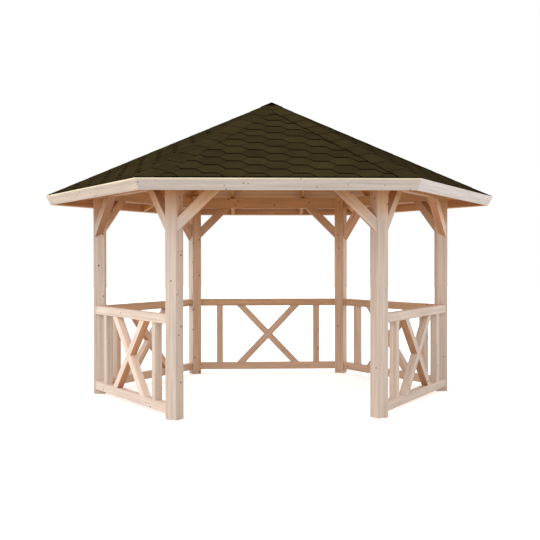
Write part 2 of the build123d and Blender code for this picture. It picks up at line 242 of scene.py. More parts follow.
def spruce(name, middle, turn=(0, 0, 0), mirrored=False, at_corners=False, roof_shade=0.0,
           exposed=False, pale=BLEACHED, upper=SUNLIT, inner_shade=AMBER_SHADE, uneven=(0.93, 1.05), luck=0.0,
           strips=None):
    """Planed spruce whose grain runs along local Z of a pattern that stands at `middle` in the
    front bay's own axes (out, along, up) and is turned by `turn` degrees. `roof_shade` is how much
    of the painted shade of under the roof it has at any height, `exposed` wood keeps its bleached
    tone at every height, gets painted shade only where it looks in and a painted highlight on its
    top edge,
    `inner_shade` is the painted shade on faces that look in, `uneven` is the range of its pieces'
    brightness and `luck` draws other knots and tones. Boards side by side differ when `strips`
    tells how far out they start and their width."""
    wood, tree, surface = start_material(name)
    point, normal, seed = one_bay(tree, at_corners)
    if mirrored:
        parts = add(tree, "ShaderNodeSeparateXYZ", {0: point}).node
        side = add(tree, "ShaderNodeMath", {0: parts.outputs["Y"]}, operation="ABSOLUTE")
        point = add(tree, "ShaderNodeCombineXYZ",
                    {"X": parts.outputs["X"], "Y": side, "Z": parts.outputs["Z"]})
        seeded = add(tree, "ShaderNodeMath", {0: parts.outputs["Y"]}, operation="SIGN")
        seed = add(tree, "ShaderNodeMath", {0: seeded, 1: 0.31, 2: seed}, operation="MULTIPLY_ADD")
    else:
        seed = add(tree, "ShaderNodeMath", {0: seed}, operation="ROUND")
    grain = add(tree, "ShaderNodeMapping",
                {"Vector": point, "Location": middle, "Rotation": [radians(a) for a in turn]},
                vector_type="TEXTURE")
    if strips:
        parts = add(tree, "ShaderNodeSeparateXYZ", {0: point}).node
        count = add(tree, "ShaderNodeMath", {0: parts.outputs["X"], 1: 1 / strips[1],
                                             2: -strips[0] / strips[1]}, operation="MULTIPLY_ADD")
        count = add(tree, "ShaderNodeMath", {0: count}, operation="FLOOR")
        seed = add(tree, "ShaderNodeMath", {0: count, 1: 8.0, 2: seed}, operation="MULTIPLY_ADD")
    seed = add(tree, "ShaderNodeMath", {0: seed, 1: luck}, operation="ADD")
    chance = add(tree, "ShaderNodeTexWhiteNoise", {"W": seed}, out="Color", noise_dimensions="1D")
    spread = add(tree, "ShaderNodeVectorMath", {0: chance, 1: (0.12, 0.12, 9.0)},
                 operation="MULTIPLY")
    board = add(tree, "ShaderNodeVectorMath", {0: grain, 1: spread}, operation="ADD")

    # knots: spheres scattered in the wood, of which a sawn face shows the slices it meets
    per_metre, empty, core, rim = SMALL_KNOTS if exposed else KNOTS
    cells = add(tree, "ShaderNodeVectorMath", {0: board, 1: per_metre}, operation="MULTIPLY")
    knot = add(tree, "ShaderNodeTexVoronoi", {"Vector": cells, "Scale": 1.0}).node
    away = add(tree, "ShaderNodeVectorMath", {0: cells, 1: knot.outputs["Position"]},
               operation="SUBTRACT")
    away = add(tree, "ShaderNodeVectorMath", {0: away, 1: [1 / n for n in per_metre]},
               operation="MULTIPLY")
    away = add(tree, "ShaderNodeVectorMath", {0: away}, out="Value", operation="LENGTH")
    picked = add(tree, "ShaderNodeSeparateXYZ", {0: knot.outputs["Color"]}).node
    grown = add(tree, "ShaderNodeMath", {0: picked.outputs["X"], 1: empty},
                operation="GREATER_THAN")
    spot = add(tree, "ShaderNodeMapRange", {"Value": away, "From Min": core, "From Max": rim,
                                            "To Min": 1.0, "To Max": 0.0})
    spot = add(tree, "ShaderNodeMath", {0: spot, 1: grown}, operation="MULTIPLY")
    bend = add(tree, "ShaderNodeMapRange", {"Value": away, "From Min": 6 * MM, "From Max": 70 * MM,
                                            "To Min": 0.02, "To Max": 0.0},
               interpolation_type="SMOOTHERSTEP")

    # growth rings round a pith line beside the piece
    wander = add(tree, "ShaderNodeMapping", {"Vector": board, "Scale": (7.0, 7.0, 0.7)})
    drift = add(tree, "ShaderNodeTexNoise", {"Vector": wander, "Scale": 1.0, "Detail": 2.0}, out=1)
    drift = add(tree, "ShaderNodeVectorMath", {0: drift, 1: (0.07, 0.07, 0.0)},
                operation="MULTIPLY")
    flat = add(tree, "ShaderNodeVectorMath", {0: board, 1: (1.0, 1.0, 0.0)}, operation="MULTIPLY")
    moved = add(tree, "ShaderNodeVectorMath", {0: flat, 1: drift}, operation="ADD")
    radius = add(tree, "ShaderNodeVectorMath", {0: moved}, out="Value", operation="LENGTH")
    radius = add(tree, "ShaderNodeMath", {0: radius, 1: bend}, operation="ADD")
    fine = add(tree, "ShaderNodeMath", {0: radius, 1: 2 * pi / RING}, operation="MULTIPLY")
    fine = add(tree, "ShaderNodeMath", {0: fine}, operation="SINE")
    broad = add(tree, "ShaderNodeMapping", {"Vector": moved, "Scale": (38.0, 38.0, 1.0)})
    streak = add(tree, "ShaderNodeMapping", {"Vector": board, "Scale": (34.0, 34.0, 1.6)})
    streak = add(tree, "ShaderNodeTexNoise", {"Vector": streak, "Scale": 1.0, "Detail": 3.0,
                                              "Roughness": 0.6})
    band = add(tree, "ShaderNodeTexNoise", {"Vector": broad, "Scale": 1.0, "Detail": 1.0})

    # painted light and shade: pale where it looks out, a painted highlight where it looks up,
    # amber painted shade where it looks in or down or sits high under the roof, and resin-brown
    # painted shade higher still
    turned = add(tree, "ShaderNodeSeparateXYZ", {0: normal}).node
    facing = add(tree, "ShaderNodeMath", {0: turned.outputs["Z"], 1: 0.8, 2: turned.outputs["X"]},
                 operation="MULTIPLY_ADD")
    inward = add(tree, "ShaderNodeMapRange", {"Value": facing, "From Max": -0.7})
    upward = add(tree, "ShaderNodeMapRange", {"Value": turned.outputs["Z"], "From Min": 0.5,
                                              "From Max": 0.85})
    height = add(tree, "ShaderNodeSeparateXYZ", {0: point}).node
    begins = add(tree, "ShaderNodeMath", {0: inward, 1: -0.3, 2: DEEP_SHADE[0]},
                 operation="MULTIPLY_ADD")
    deep_shade_share = add(tree, "ShaderNodeMapRange", {"Value": height.outputs["Z"], "From Min": begins,
                                                 "From Max": DEEP_SHADE[1], "To Max": 0.9})
    if exposed:
        deep_shade_share = add(tree, "ShaderNodeMath", {0: deep_shade_share, 1: inward}, operation="MULTIPLY")
    deep_shade_share = add(tree, "ShaderNodeMath", {0: deep_shade_share, 1: roof_shade}, operation="MAXIMUM")
    painted_shade = inward
    # painted shade high under the roof reaches every face, except on the fascias
    if not exposed:
        shade_by_height = add(tree, "ShaderNodeMapRange", {"Value": height.outputs["Z"], "From Min": SHADE_UNDER_ROOF[0],
                                               "From Max": SHADE_UNDER_ROOF[1]})
        painted_shade = add(tree, "ShaderNodeMath", {0: inward, 1: shade_by_height}, operation="MAXIMUM")
    tone = add(tree, "ShaderNodeMix", {0: painted_shade, 6: linear(pale), 7: linear(inner_shade)}, out=2,
               data_type="RGBA")
    tone = add(tree, "ShaderNodeMix", {0: upward, 6: tone, 7: linear(upper)}, out=2,
               data_type="RGBA")
    tone = add(tree, "ShaderNodeMix", {0: deep_shade_share, 6: tone, 7: linear(RESIN_SHADE)}, out=2,
               data_type="RGBA")

    if not (roof_shade or exposed):
        under = add(tree, "ShaderNodeMapRange", {"Value": turned.outputs["Z"], "From Min": -0.4,
                                                 "From Max": -0.7})
        tone = add(tree, "ShaderNodeMix", {0: under, 6: tone, 7: linear(SHADED)}, out=2,
                   data_type="RGBA")
    piece = add(tree, "ShaderNodeSeparateXYZ", {0: chance}).node
    if exposed:
        # a board yellows or greys to a degree of its own
        aged = add(tree, "ShaderNodeMapRange", {"Value": piece.outputs["X"], "From Min": 0.13,
                                                "From Max": 0.7})
        cast = add(tree, "ShaderNodeMix", {0: aged, 6: YELLOWED, 7: GREYED}, out=2,
                   data_type="RGBA")
        tone = add(tree, "ShaderNodeVectorMath", {0: tone, 1: cast}, operation="MULTIPLY")
        # how far below the roof's surface, measured square to the slope
        depth = add(tree, "ShaderNodeVectorMath", {0: point, 1: (-sin(PITCH), 0, -cos(PITCH))},
                    out="Value", operation="DOT_PRODUCT")
        # painted highlight in straw yellow along the fascia's top edge, fainter on the greyer
        # boards
        highlight_strength = add(tree, "ShaderNodeMapRange", {"Value": aged, "From Min": 0.6, "To Min": 1.0,
                                                  "To Max": 0.1})
        top = -PEAK * cos(PITCH)
        edge = add(tree, "ShaderNodeMapRange", {"Value": depth, "From Min": top + 12 * MM,
                                                "From Max": top + 8 * MM, "To Max": highlight_strength})
        tone = add(tree, "ShaderNodeMix", {0: edge, 6: tone, 7: linear(upper)}, out=2,
                   data_type="RGBA")

    # put the pattern on the tone
    mark = add(tree, "ShaderNodeMath", {0: fine, 1: 0.025, 2: 1.0}, operation="MULTIPLY_ADD")
    blotch = add(tree, "ShaderNodeMapRange", {"Value": streak, "From Min": 0.3, "From Max": 0.7,
                                              "To Min": 0.85, "To Max": 1.1})
    late = add(tree, "ShaderNodeMapRange", {"Value": band, "From Min": 0.3, "From Max": 0.7,
                                            "To Min": 0.92, "To Max": 1.06})
    own = add(tree, "ShaderNodeMapRange", {"Value": piece.outputs["Y"], "To Min": uneven[0],
                                           "To Max": uneven[1]})
    mark = add(tree, "ShaderNodeMath", {0: mark, 1: blotch}, operation="MULTIPLY")
    mark = add(tree, "ShaderNodeMath", {0: mark, 1: late}, operation="MULTIPLY")
    mark = add(tree, "ShaderNodeMath", {0: mark, 1: own}, operation="MULTIPLY")
    grained = add(tree, "ShaderNodeVectorMath", {0: tone, "Scale": mark}, operation="SCALE")
    colour = add(tree, "ShaderNodeMix",
                 {0: spot, 6: grained, 7: linear(GREYED_KNOT if exposed else KNOT)}, out=2,
                 data_type="RGBA")

    relief = add(tree, "ShaderNodeBump", {"Strength": 0.25, "Distance": 0.6 * MM, "Height": fine})
    finish = add(tree, "ShaderNodeBsdfPrincipled",
                 {"Base Color": colour, "Roughness": 0.62, "IOR": 1.5, "Normal": relief})
    tree.links.new(finish, surface)
    return wood


# %% [markdown]
# ## Give each member its grain
# The pattern is set up for one member of each kind, in the axes of the front bay: out, along and
# up. Its turn lays the grain along the member: upright in posts, level in beams and rails, and
# slanting in braces, crosses and rafters. Where one node holds members of several directions,
# each of its loose solids gets the material that suits its place.

# %% Posts, beams, fascias and rafters


def middle_of(node):
    low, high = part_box(node)
    return (low + high) / 2


post = middle_of("post_right")
beam = middle_of("beam_front")
SIDE = -beam.y                                   # from the middle of the plan to a beam's middle
JACK_SPREAD = 940 * MM                           # between a face's two jack rafters
fascia = middle_of("fascia_front")
LEVEL = (-90, 0, 0)
DOWNHILL = (0, 90 + degrees(PITCH), 0)
ON_THE_SLOPE = Vector((1.2, 0, 2.6))             # a place halfway down a roof face

post_wood = spruce("spruce_post", (post.x, 0, 1), at_corners=True)
beam_wood = spruce("spruce_beam", (SIDE, 0, beam.z), LEVEL)
# the fascias: a painted highlight in straw yellow on their top edge and upper faces
fascia_wood = spruce("spruce_fascia", (-fascia.y, 0, fascia.z), LEVEL, exposed=True,
                     pale="#cabcb0", upper=STRAW_HIGHLIGHT, uneven=(0.96, 1.2), luck=7045.5)
# rafters and hub: the painted shade of under the roof at every height
jack_wood = spruce("spruce_jack_rafter", ON_THE_SLOPE + Vector((0, JACK_SPREAD / 2, 0)),
                   DOWNHILL, mirrored=True, roof_shade=1.0)
hip_wood = spruce("spruce_hip_rafter", ON_THE_SLOPE, (0, 90 + degrees(HIP_SLOPE), 0),
                  at_corners=True, roof_shade=1.0)
hub_wood = spruce("spruce_hub", (0, 0, 3), at_corners=True, roof_shade=1.0)


def wear(node, *woods):
    """Put materials into a construction node's slots."""
    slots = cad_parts[node].data.materials
    slots.clear()
    for wood in woods:
        slots.append(wood)


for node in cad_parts:
    if node.startswith("post_"):
        wear(node, post_wood)
    elif node.startswith("beam_"):
        wear(node, beam_wood)
    elif node.startswith("fascia_"):
        wear(node, fascia_wood)
wear("jack_rafters", jack_wood)
wear("hip_rafters", hip_wood)
wear("apex_hub", hub_wood)
print("grain given to", len(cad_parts), "nodes so far")

# %% Braces and railings
brace_wood = spruce("spruce_brace", (SIDE, 0.7, 2.0), (45, 0, 0), mirrored=True,
                    uneven=(0.84, 1.25), luck=846.625)

rail_low, rail_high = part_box("railing_back")
RAIL_MIDDLE = (rail_low.z + rail_high.z) / 2
RAIL_DEPTH = 90 * MM
CROSS_SPREAD = 720 * MM                          # between the feet of a cross
CROSS_RISE = degrees(atan2(rail_high.z - rail_low.z - 2 * RAIL_DEPTH, CROSS_SPREAD))
RAILING = (SIDE, 0, RAIL_MIDDLE)
rail_wood = spruce("spruce_rail", RAILING, LEVEL, uneven=(0.94, 1.14), luck=359.0)
# the handrail's inner face gets a deeper painted shade
handrail_wood = spruce("spruce_handrail", RAILING, LEVEL, inner_shade=INNER_RAIL_SHADE, uneven=(0.94, 1.14),
                       luck=359.0)
upright_wood = spruce("spruce_upright", (SIDE, 0.64, RAIL_MIDDLE), mirrored=True)
rising_wood = spruce("spruce_cross_rising", RAILING, (CROSS_RISE - 90, 0, 0),
                     uneven=(0.92, 1.26), luck=84.375)
falling_wood = spruce("spruce_cross_falling", RAILING, (90 - CROSS_RISE, 0, 0),
                      uneven=(0.92, 1.32), luck=84.375)


def loose_solids(mesh):
    """Group a mesh's faces by the solid that they belong to, by joining corners that coincide."""
    group = {}

    def root(key):
        while group.setdefault(key, key) != key:
            key = group[key]
        return key

    keys = [tuple(round(c, 5) for c in v.co) for v in mesh.vertices]
    for face in mesh.polygons:
        for corner in face.vertices[1:]:
            group[root(keys[corner])] = root(keys[face.vertices[0]])
    solids = {}
    for face in mesh.polygons:
        solids.setdefault(root(keys[face.vertices[0]]), []).append(face)
    return solids.values()


def kind_of_member(mesh, faces, side):
    """Slot of a railing's member: 0 bottom rail, 1 upright, 2 and 3 the two bars of the cross,
    4 handrail."""
    corners = [mesh.vertices[v].co for face in faces for v in face.vertices]
    along = [corner.dot(side) for corner in corners]
    heights = [corner.z for corner in corners]
    width = max(along) - min(along)
    height = max(heights) - min(heights)
    if width > 4 * height:
        return 4 if min(heights) > RAIL_MIDDLE else 0
    if height > 4 * width:
        return 1
    middle = (max(along) + min(along)) / 2
    rising = sum((a - middle) * (h - RAIL_MIDDLE) for a, h in zip(along, heights)) > 0
    return 2 if rising else 3


for bay, number in BAYS.items():
    wear(f"knee_braces_{bay}", brace_wood)
    if bay == "front":
        continue
    angle = number * TURN - pi / 2
    side = Vector((-sin(angle), cos(angle), 0))
    node = f"railing_{bay}"
    wear(node, rail_wood, upright_wood, rising_wood, falling_wood, handrail_wood)
    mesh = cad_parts[node].data
    kinds = []
    for faces in loose_solids(mesh):
        kind = kind_of_member(mesh, faces, side)
        kinds.append(kind)
        for face in faces:
            face.material_index = kind
    print(node, "members", sorted(kinds))

# %% [markdown]
# ## Working in edit mode from a script
# The operators of edit mode act on what is selected, just as when working by hand. These helpers
# stand in for the mouse: one picks a single object, and one selects the faces or edges whose
# middle passes a test.

# %% Helpers for modelling


def take(piece):
    """Select one object and nothing else."""
    bpy.ops.object.select_all(action="DESELECT")
    piece.select_set(True)
    bpy.context.view_layer.objects.active = piece


def choose(piece, kind, test):
    """In edit mode, select the faces or edges whose middle passes a test."""
    bpy.ops.mesh.select_mode(type={"faces": "FACE", "edges": "EDGE"}[kind])
    bpy.ops.mesh.select_all(action="DESELECT")
    mesh = bmesh.from_edit_mesh(piece.data)
    for item in getattr(mesh, kind):
        middle = sum((corner.co for corner in item.verts), Vector()) / len(item.verts)
        if test(middle):
            item.select_set(True)
    mesh.select_flush_mode()
    bmesh.update_edit_mesh(piece.data)


def bake_place(piece):
    """Move a piece's place, turn and size into its mesh."""
    take(piece)
    bpy.ops.object.transform_apply(location=True, rotation=True, scale=True)


def repeat(piece, count, step):
    """Array a piece by a fixed step and apply the modifier."""
    take(piece)
    row = piece.modifiers.new("row", "ARRAY")
    row.count = count
    row.use_relative_offset = False
    row.use_constant_offset = True
    row.constant_offset_displace = step
    bpy.ops.object.modifier_apply(modifier="row")


def second(piece, name):
    """A copy of a piece with its own mesh."""
    copy = piece.copy()
    copy.data = piece.data.copy()
    copy.name = name
    bpy.context.scene.collection.objects.link(copy)
    return copy


def join(pieces):
    """Make one object of several."""
    bpy.ops.object.select_all(action="DESELECT")
    for piece in pieces:
        piece.select_set(True)
    bpy.context.view_layer.objects.active = pieces[0]
    bpy.ops.object.join()
    return pieces[0]


def trim(piece, point, normal):
    """Cut off what lies beyond a plane, on the side that its normal points to."""
    take(piece)
    bpy.ops.object.mode_set(mode="EDIT")
    bpy.ops.mesh.select_all(action="SELECT")
    bpy.ops.mesh.bisect(plane_co=point, plane_no=normal, clear_outer=True, use_fill=True)
    bpy.ops.object.mode_set(mode="OBJECT")


def onto_front_face(piece):
    """Lift a piece modelled flat, with the peak at the origin and the eave towards -Y, onto the
    front face of the roof, and cut it off along both hips."""
    piece.rotation_euler.x = PITCH
    piece.location = (0, 0, PEAK)
    bake_place(piece)
    for hand in (1, -1):
        trim(piece, (0, 0, 0), (hand * cos(TURN / 2), sin(TURN / 2), 0))


def round_the_roof(piece, stem):
    """Copies of a front piece for the other five bays, and all six by bay."""
    pieces = {}
    for bay, number in BAYS.items():
        copy = second(piece, f"{stem}_{bay}")
        copy.rotation_euler.z = number * TURN
        bake_place(copy)
        pieces[bay] = copy
    bpy.data.objects.remove(piece)
    return pieces


# %% [markdown]
# ## The roof boards, seen from below
# Tongued and grooved boards run level across the rafters. Each has its lower long edges bevelled,
# so a V-shaped line shows at every joint. One board is made from a cube, bevelled, and arrayed
# down the slope; the stack is then mitred along the two hips as a carpenter saws it in place.

# %% Roof boards
BOARD_WIDTH = 96 * MM
BOARD_THICK = 19 * MM
V_EDGE = 5 * MM
JOINT = 0.4 * MM

board_count = int(SHINGLE_EAVE / BOARD_WIDTH) + 1
bpy.ops.object.select_all(action="DESELECT")
bpy.ops.mesh.primitive_cube_add(
    size=1, location=(0, -SHINGLE_EAVE + BOARD_WIDTH / 2, -FELT_DEPTH - BOARD_THICK / 2),
    scale=(2 * SHINGLE_EAVE, BOARD_WIDTH - JOINT, BOARD_THICK - JOINT))
board = bpy.context.object
board.name = "board"
bake_place(board)
take(board)
bpy.ops.object.mode_set(mode="EDIT")
choose(board, "edges", lambda m: abs(m.x) < 0.01 and m.z < -FELT_DEPTH - BOARD_THICK / 2)
bpy.ops.mesh.bevel(offset=V_EDGE, segments=1)
bpy.ops.object.mode_set(mode="OBJECT")
repeat(board, board_count, (0, BOARD_WIDTH, 0))
onto_front_face(board)
boards = round_the_roof(board, "boards")
print("boards on each face", board_count)

# %% [markdown]
# ## The boards' wood
# Each board comes from another tree, so the tone changes from board to board. The number of the
# board is its distance down the slope divided by the board's width, rounded down, and it seeds
# the pattern together with the number of the bay.

# %% Assign the boards
eave_out = SHINGLE_EAVE * cos(PITCH) - (FELT_DEPTH + BOARD_THICK) * sin(PITCH)
board_run = BOARD_WIDTH * cos(PITCH)             # a board's width on plan
# the boards get nearly the full painted shade of under the roof
board_wood = spruce("spruce_roof_board", ON_THE_SLOPE, LEVEL, roof_shade=0.9, uneven=(0.86, 1.12),
                    strips=(eave_out - 50 * board_run, board_run))
for bay, piece in boards.items():
    piece.data.materials.clear()
    piece.data.materials.append(board_wood)
    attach(piece, "root")
    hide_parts(f"roof_boards_{bay}")

# %% [markdown]
# ## Mineral felt and its cut edge
# Roofing felt is bitumen on a mat, strewn with crushed slate and ceramic grit, here olive brown.
# The grit makes it dull and slightly rough, and no two tabs have quite the same mix. Where felt
# is cut, the black bitumen shows, and the same black serves as painted shadow along the cut
# edges. Real grains are about 1 mm; they are drawn 3 to 12 mm wide, because from the garden only
# clusters of them can be seen.

# %% Felt and bitumen
MOSS_BROWN = "#342e1d"
OCHRE_GRIT = "#4c3f22"
# the black of cut felt edges, and of the painted shadow along them
BITUMEN_AND_SHADOW = "#0e0b06"


def mineral_felt(name, colour, tone_spread):
    """Felt strewn with grit; its cut pieces differ in brightness by `tone_spread`."""
    felt, tree, surface = start_material(name)
    coordinates = tree.nodes.new("ShaderNodeTexCoord").outputs["Object"]
    island = tree.nodes.new("ShaderNodeNewGeometry").outputs["Random Per Island"]
    chance = add(tree, "ShaderNodeTexWhiteNoise", {"W": island}, out="Color",
                 noise_dimensions="1D")
    parts = add(tree, "ShaderNodeSeparateXYZ", {0: chance}).node
    tone = add(tree, "ShaderNodeMapRange", {"Value": parts.outputs["X"],
                                            "To Min": 1 - tone_spread, "To Max": 1 + tone_spread})
    fine = add(tree, "ShaderNodeTexNoise", {"Vector": coordinates, "Scale": 1 / (3 * MM),
                                            "Detail": 1.0})
    coarse = add(tree, "ShaderNodeTexNoise", {"Vector": coordinates, "Scale": 1 / (12 * MM),
                                              "Detail": 2.0, "Roughness": 0.7})
    patch = add(tree, "ShaderNodeTexNoise", {"Vector": coordinates, "Scale": 1 / (250 * MM),
                                             "Detail": 2.0})
    light = add(tree, "ShaderNodeMapRange", {"Value": coarse, "From Min": 0.35, "From Max": 0.75,
                                             "To Max": 0.5})
    leaning = add(tree, "ShaderNodeMath", {0: parts.outputs["Y"], 1: 0.12}, operation="MULTIPLY")
    light = add(tree, "ShaderNodeMath", {0: light, 1: leaning}, operation="ADD", use_clamp=True)
    mix = add(tree, "ShaderNodeMix", {0: light, 6: linear(colour), 7: linear(OCHRE_GRIT)}, out=2,
              data_type="RGBA")
    grains = add(tree, "ShaderNodeMapRange", {"Value": fine, "From Min": 0.3, "From Max": 0.7,
                                              "To Min": 0.72, "To Max": 1.25})
    worn = add(tree, "ShaderNodeMapRange", {"Value": patch, "From Min": 0.3, "From Max": 0.7,
                                            "To Min": 0.88, "To Max": 1.12})
    shade = add(tree, "ShaderNodeMath", {0: grains, 1: worn}, operation="MULTIPLY")
    shade = add(tree, "ShaderNodeMath", {0: shade, 1: tone}, operation="MULTIPLY")
    colour = add(tree, "ShaderNodeVectorMath", {0: mix, "Scale": shade}, operation="SCALE")
    relief = add(tree, "ShaderNodeBump", {"Strength": 0.4, "Distance": 1 * MM, "Height": fine})
    finish = add(tree, "ShaderNodeBsdfPrincipled",
                 {"Base Color": colour, "Roughness": 1.0, "Normal": relief,
                  "Specular IOR Level": 0.0})
    tree.links.new(finish, surface)
    return felt


# black bitumen of cut edges, which also serves as painted shadow along tab and strip edges
def bitumen_and_painted_shadow():
    bitumen, tree, surface = start_material("bitumen_and_painted_shadow")
    coordinates = tree.nodes.new("ShaderNodeTexCoord").outputs["Object"]
    specks = add(tree, "ShaderNodeTexNoise", {"Vector": coordinates, "Scale": 1 / (6 * MM)})
    light = add(tree, "ShaderNodeMapRange", {"Value": specks, "From Min": 0.45, "From Max": 0.8,
                                             "To Max": 0.3})
    colour = add(tree, "ShaderNodeMix", {0: light, 6: linear(BITUMEN_AND_SHADOW), 7: linear(MOSS_BROWN)},
                 out=2, data_type="RGBA")
    finish = add(tree, "ShaderNodeBsdfPrincipled", {"Base Color": colour, "Roughness": 1.0,
                                                    "Specular IOR Level": 0.0})
    tree.links.new(finish, surface)
    return bitumen


shingle_felt = mineral_felt("mineral_felt", MOSS_BROWN, 0.1)
rim_bitumen_and_shadow = bitumen_and_painted_shadow()

# %% [markdown]
# ## Hexagonal felt shingles
# The roof is covered with strips of mineral felt, cut along their lower edge into tabs. Each tab
# is the lower half of a hexagon. The next course lies half a tab to one side and leaves the upper
# half free, so the roof reads as a honeycomb. The dark lines between the hexagons are partly the
# black bitumen of the cut edges and partly painted shadow along them.
#
# A tab is made from a plane: two bisect cuts part its lower edge, the middle of that edge is
# extruded and narrowed, and an inset gives the black rim of bitumen and painted shadow, wider at
# the foot. The right slanting edge is drawn without painted shadow, so its rim is given back to
# the felt. Solidify gives the tab a thickness, and a slight tilt lets each course rest on the one
# below.

# %% One tab
TAB_PITCH = 411 * MM
TAB_FOOT = 137 * MM                              # flat lower edge
TAB_WIDE = TAB_PITCH - TAB_FOOT                  # widest part of the hexagon
EXPOSURE = 109.7 * MM
RIM = 8 * MM
BUTT_RIM = 14 * MM                              # the butt casts a shadow below it, too
FELT = 2 * MM                                    # 3 mm in truth; three layers fit the roof's slab
TAB_HEAD = EXPOSURE + 12 * MM
SIDE_GAP = 1 * MM


def give_rim(piece, width):
    """In edit mode: inset all faces together and give the rim the second material."""
    bpy.ops.mesh.select_mode(type="FACE")
    bpy.ops.mesh.select_all(action="SELECT")
    bpy.ops.mesh.normals_make_consistent(inside=False)
    bpy.ops.mesh.inset(thickness=width, use_boundary=True, use_even_offset=True)
    bpy.ops.mesh.select_all(action="INVERT")
    piece.active_material_index = 1
    bpy.ops.object.material_slot_assign()


def thicken(piece, thickness):
    """Solidify a sheet downwards, with the second material on its edges and back."""
    take(piece)
    skin = piece.modifiers.new("skin", "SOLIDIFY")
    skin.thickness = thickness
    skin.offset = -1
    skin.material_offset = 1
    skin.material_offset_rim = 1
    bpy.ops.object.modifier_apply(modifier="skin")


bpy.ops.object.select_all(action="DESELECT")
bpy.ops.mesh.primitive_plane_add(size=1, location=(0, EXPOSURE + TAB_HEAD / 2, 0))
tab = bpy.context.object
tab.name = "tab"
tab.data.materials.append(shingle_felt)
tab.data.materials.append(rim_bitumen_and_shadow)
tab.scale = (TAB_PITCH - SIDE_GAP, TAB_HEAD, 1)
bake_place(tab)
take(tab)
bpy.ops.object.mode_set(mode="EDIT")
for cut in (-TAB_WIDE / 2, TAB_WIDE / 2):
    bpy.ops.mesh.select_all(action="SELECT")
    bpy.ops.mesh.bisect(plane_co=(cut, 0, 0), plane_no=(1, 0, 0))
choose(tab, "edges", lambda m: abs(m.x) < TAB_FOOT / 4 and m.y < EXPOSURE + SIDE_GAP)
bpy.ops.mesh.extrude_edges_move(TRANSFORM_OT_translate={"value": (0, -EXPOSURE, 0)})
bpy.ops.transform.resize(value=(TAB_FOOT / TAB_WIDE, 1, 1), center_override=(0, 0, 0))
give_rim(tab, RIM)
# the rim at the foot is widened for the painted shadow below the butt
choose(tab, "edges", lambda m: abs(m.x) < 1 * MM and abs(m.y - RIM) < 1 * MM)
bpy.ops.transform.translate(value=(0, BUTT_RIM - RIM, 0))
# only the foot and the left slanting edge keep the black rim of painted shadow
choose(tab, "faces", lambda m: m.x > TAB_FOOT / 2 and m.y < EXPOSURE)
tab.active_material_index = 0
bpy.ops.object.material_slot_assign()
bpy.ops.object.mode_set(mode="OBJECT")
thicken(tab, FELT)
print("one tab has", len(tab.data.polygons), "faces; its top faces up:",
      max(tab.data.polygons, key=lambda face: face.center.z).normal.z > 0)

# %% [markdown]
# ## Lay the courses
# Odd and even courses are two arrays of the tab, half a tab apart. They start at the eave, where
# the lowest one reaches a little too far and is trimmed, and the heads of one more course lie
# under it to close its gaps. A bead of bitumen seals the lower edge to the fascia. The finished
# cover is trimmed at the hips and turned round the roof.

# %% Courses on all six faces
FELT_LIFT = 0.4 * MM                             # keeps the butts just under the model's surface
DRIP = 9 * MM                                    # reach of the lowest course before the trim
BEAD = 34 * MM                                   # bitumen over the joint of felt and fascia
rows = int(SHINGLE_EAVE / EXPOSURE / 2) + 2
half_eave = SHINGLE_EAVE * cos(PITCH) * tan(TURN / 2)
across = int(2 * half_eave / TAB_PITCH) + 2

tab.rotation_euler.x = -atan(FELT / EXPOSURE)
tab.location.z = -FELT_LIFT
bake_place(tab)
fields = []
for course in (0, 1):
    field = second(tab, "field")
    sideways = -(across - 1) / 2 + (0.5 if (course + across) % 2 else 0)
    field.location = (sideways * TAB_PITCH, -SHINGLE_EAVE - DRIP + (course - 1) * EXPOSURE, 0)
    bake_place(field)
    repeat(field, across, (TAB_PITCH, 0, 0))
    repeat(field, rows, (0, 2 * EXPOSURE, 0))
    fields.append(field)
bpy.data.objects.remove(tab)
cover = join(fields)
trim(cover, (0, -SHINGLE_EAVE, 0), (0, -1, 0))
bpy.ops.object.select_all(action="DESELECT")
bpy.ops.mesh.primitive_cube_add(size=1, location=(0, -SHINGLE_EAVE - BEAD / 2 + 12 * MM, 0),
                                scale=(2 * SHINGLE_EAVE, BEAD, 2.6 * MM))
bead = bpy.context.object
bead.data.materials.append(rim_bitumen_and_shadow)
bake_place(bead)
cover = join([cover, bead])
onto_front_face(cover)
print("courses", 2 * rows, "tabs across", across, "faces", len(cover.data.polygons))
covers = round_the_roof(cover, "shingle_courses")
for bay, piece in covers.items():
    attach(piece, "root")
    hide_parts(f"shingles_{bay}")

# %% [markdown]
# ## Hip caps
# Where two faces meet, folded strips of the same felt cover the cut tabs. They are laid from the
# eave upwards, and each covers the head of the one below, so every strip shows a butt square to
# the hip. The black rim round each strip is partly its cut edge and partly painted shadow. Seen
# from outside, the left edge of each strip stands off a little; the right one is pressed down,
# and its rim goes back to felt. One strip is a plane, folded along its middle, given a rim and a
# thickness, and tilted, and then arrayed up the hip. Strips are cut a little narrower at the head,
# so that the edges of the run step in at every butt.

# %% One strip and the run of strips
CAP_HALF = 179 * MM                              # width of each wing
CAP_EXPOSURE = 247 * MM
CAP_LAP = 30 * MM
CAP_RIM = 7 * MM
CAP_TAPER = 24 * MM                              # each wing is narrower at the strip's head
CAP_TOP = 3.9 * MM                               # butt above the shingles, within the model's cap
CAP_PRESSED = 2.6 * MM                           # the right edge lies this much lower
CAP_LONG = CAP_EXPOSURE + CAP_LAP
FOLD = tan(PITCH) * sin(TURN / 2) * cos(HIP_SLOPE)
HIP_LENGTH = SHINGLE_EAVE * cos(PITCH) / cos(TURN / 2) / cos(HIP_SLOPE)

